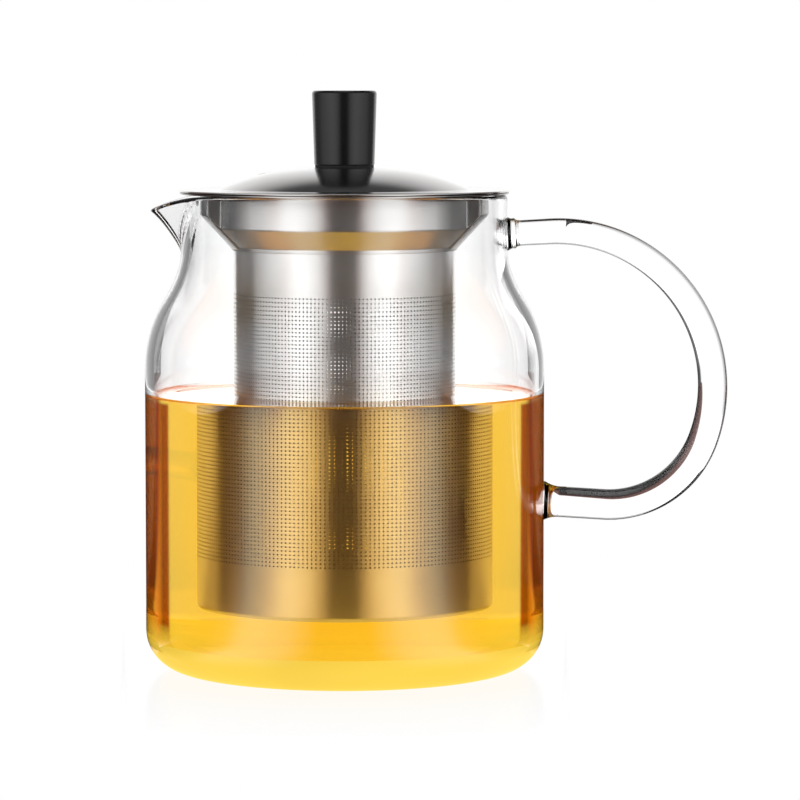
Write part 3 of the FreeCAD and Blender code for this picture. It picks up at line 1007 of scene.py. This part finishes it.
def camera_ray(tree):
    return tree.nodes.new("ShaderNodeLightPath").outputs["Is Camera Ray"]


def brightness_around(tree, x, y, table):
    """Brightness from a table by direction, in the direction of x and y."""
    turned = math_node(tree, "ABSOLUTE", math_node(tree, "ARCTAN2", x, y))
    stops = [(angle / 180, value) for angle, value in table]
    return ramp(tree, math_node(tree, "DIVIDE", turned, math.pi), stops)


def along_floor(tree, distance, table):
    """Value from a table by distance over the floor."""
    stops = [(place / FLOOR_BACK, value) for place, value in table]
    return ramp(tree, math_node(tree, "DIVIDE", distance, FLOOR_BACK), stops)


def add_floor():
    """Pale floor with a faint mirror: plain white to the eye, patterned for light that passes the glass."""
    material, tree, shader, output = node_material("pale_floor")
    x, y, _ = coordinates(tree)
    radius = distance_from_axis(tree, x, y)
    beside = math_node(tree, "GREATER_THAN", x, HANDLE_SIDE)
    share = mixed(tree, beside, 1.0, along_floor(tree, y, FLOOR_BEHIND_HANDLE))
    shift = math_node(tree, "MULTIPLY", math_node(tree, "GREATER_THAN", y, 0.0), FLOOR_ROUND_FROM)
    pattern = brightness_around(tree, x, math_node(tree, "SUBTRACT", y, shift), FLOOR_ROUND)
    dimmed = mixed(tree, 1.0, pattern, share, "MULTIPLY")
    around_pot = mixed(tree, 1.0, dimmed, ramp(tree, pattern, WARM_WHEN_DARK), "MULTIPLY")
    under = along_floor(tree, radius, FLOOR_UNDER_POT)
    amber = ramp(tree, under, [(0.0, UNDER_POT_GLOW), (1.0, UNDER_POT_GLOW)])
    glow = mixed(tree, under, around_pot, amber)
    shine = along_floor(tree, radius, FLOOR_SHINE)
    plain = mixed(tree, 1.0, 1.0, shine, "SUBTRACT")
    tree.links.new(mixed(tree, camera_ray(tree), glow, plain), shader.inputs["Emission Color"])
    shader.inputs["Emission Strength"].default_value = 1.0
    shader.inputs["Base Color"].default_value = (0, 0, 0, 1)
    shader.inputs["Specular IOR Level"].default_value = 0.0
    mirror = tree.nodes.new("ShaderNodeBsdfAnisotropic")
    tree.links.new(shine, mirror.inputs["Color"])
    mirror.inputs["Roughness"].default_value = FLOOR_MIRROR_ROUGHNESS
    both = tree.nodes.new("ShaderNodeAddShader")
    tree.links.new(shader.outputs["BSDF"], both.inputs[0])
    tree.links.new(mirror.outputs["BSDF"], both.inputs[1])
    tree.links.new(both.outputs["Shader"], output.inputs["Surface"])
    corners = [(-FLOOR_HALF_WIDTH, FLOOR_FRONT, 0), (FLOOR_HALF_WIDTH, FLOOR_FRONT, 0),
               (FLOOR_HALF_WIDTH, FLOOR_BACK, 0), (-FLOOR_HALF_WIDTH, FLOOR_BACK, 0)]
    floor = loose_object("floor", corners, [(0, 1, 2, 3)])
    floor.data.materials.append(material)
    floor.location.z = FLOOR_Z


def add_card(name, x, front, back, low, high, behind_glass):
    """Upright black card beside the pot, edge on to the camera, that darkens the glass's outline.

    It shows only through the glass, or only as a reflection.
    """
    material, _, shader, _ = node_material(name)
    shader.inputs["Base Color"].default_value = CARD_BLACK
    shader.inputs["Specular IOR Level"].default_value = 0.0
    far_x = x + (x - CAMERA_PLACE[0]) / (front - CAMERA_PLACE[1]) * (back - front)
    corners = [(x, front, low), (far_x, back, low), (far_x, back, high), (x, front, high)]
    card = loose_object(name, corners, [(0, 1, 2, 3)])
    card.data.materials.append(material)
    card.visible_camera = False
    card.visible_diffuse = False
    card.visible_transmission = behind_glass
    card.visible_glossy = not behind_glass
    card.visible_shadow = False


def add_cards():
    """A high and a low card on each side, which meet at the tea's level."""
    level = TEA_Z + MENISCUS_H
    for side, x, front, back, top in (("left", -CARD_X, LEFT_CARD_FRONT, LEFT_CARD_BACK, LEFT_CARD_TOP),
                                      ("right", CARD_X, RIGHT_CARD_FRONT, RIGHT_CARD_BACK, RIGHT_CARD_TOP)):
        add_card("card_high_" + side, x, front, back, level, top, True)
        add_card("card_low_" + side, x, LEFT_CARD_FRONT, LOW_CARD_BACK, 0.0, level, False)


def by_elevation(tree, height, table):
    """Value from a table by elevation, where height runs from 0 to 1 with the elevation's sine."""
    return ramp(tree, height, [((math.sin(math.radians(angle)) + 1) / 2, value) for angle, value in table])


def add_studio():
    """A bright wall behind, a soft box on each side in front, and dark between them."""
    world = bpy.data.worlds.new("studio")
    world.use_nodes = True
    tree = world.node_tree
    tree.nodes.clear()
    split = tree.nodes.new("ShaderNodeSeparateXYZ")
    tree.links.new(tree.nodes.new("ShaderNodeTexCoord").outputs["Generated"], split.inputs[0])
    x, y, z = split.outputs
    across = brightness_around(tree, x, y, ALL_ROUND)
    height = math_node(tree, "DIVIDE", math_node(tree, "ADD", z, 1.0), 2.0)
    reflected = by_elevation(tree, height, BY_HEIGHT)
    through = by_elevation(tree, height, BY_HEIGHT_THROUGH_GLASS)
    passed_glass = tree.nodes.new("ShaderNodeLightPath").outputs["Is Transmission Ray"]
    share = mixed(tree, passed_glass, reflected, through)
    overhead = by_elevation(tree, height, OVERHEAD)
    lit = mixed(tree, 1.0, mixed(tree, 1.0, across, share, "MULTIPLY"), overhead, "ADD")
    background = tree.nodes.new("ShaderNodeBackground")
    tree.links.new(mixed(tree, camera_ray(tree), lit, 1.0), background.inputs["Color"])
    output = tree.nodes.new("ShaderNodeOutputWorld")
    tree.links.new(background.outputs[0], output.inputs["Surface"])
    scene = bpy.context.scene
    scene.world = world
    scene.view_settings.view_transform = "Standard"
    scene.cycles.max_bounces = LIGHT_BOUNCES
    scene.cycles.transmission_bounces = LIGHT_BOUNCES


add_camera()
add_studio()
add_floor()
add_cards()
build_glass()
build_tea()
build_basket()
build_collar()
build_lid()
build_knob()
repaint("knob_gasket", GASKET_BLACK)
repaint("knob_insert", INSERT_BRASS)
repaint("knob_screw", FIXING_STEEL)
repaint("screw_washer", FIXING_STEEL)
